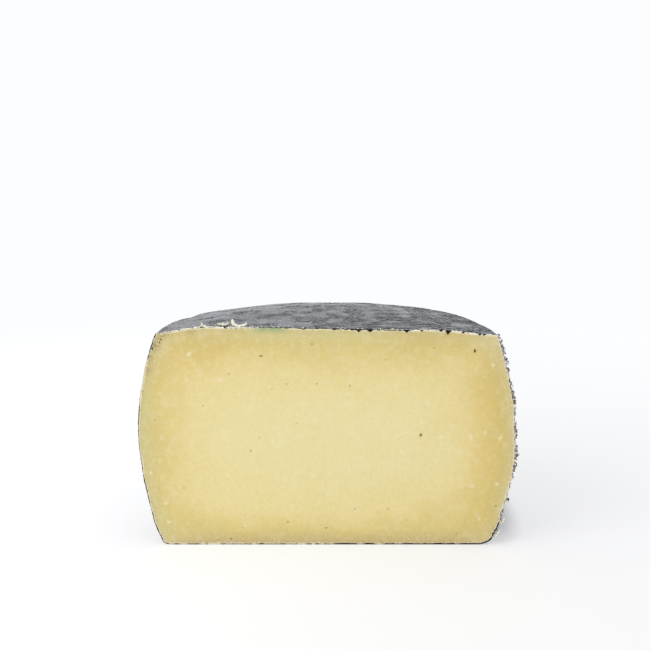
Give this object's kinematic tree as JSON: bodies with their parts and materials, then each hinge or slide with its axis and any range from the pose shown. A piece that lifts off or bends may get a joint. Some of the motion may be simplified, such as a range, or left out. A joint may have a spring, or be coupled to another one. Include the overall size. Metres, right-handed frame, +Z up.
{
  "type": "pecorino half wheel",
  "caption": "Half a wheel of hard sheep's milk cheese, cut through its axis, with a thin black coated rind, pale yellow paste and torn rind and shavings along the cut's edge.",
  "frame": {"origin": "bottom centre of the half wheel's box, on the surface it rests on", "axes": "+Z up; +X along the cut face, to its right as it is looked at; the cut face looks along -Y and the rounded rind lies towards +Y"},
  "size_m": [0.2023, 0.1002, 0.1244],
  "materials": {
    "paste": "cut hard cheese: close matte paste, slightly moist, with fine crystals and small dark eyes",
    "rind": "thin black coating over the rind: satin, leathery on top, with fine creases on the side"
  },
  "bodies": {
    "root": {"half_wheel": "paste"}
  },
  "joints": []
}
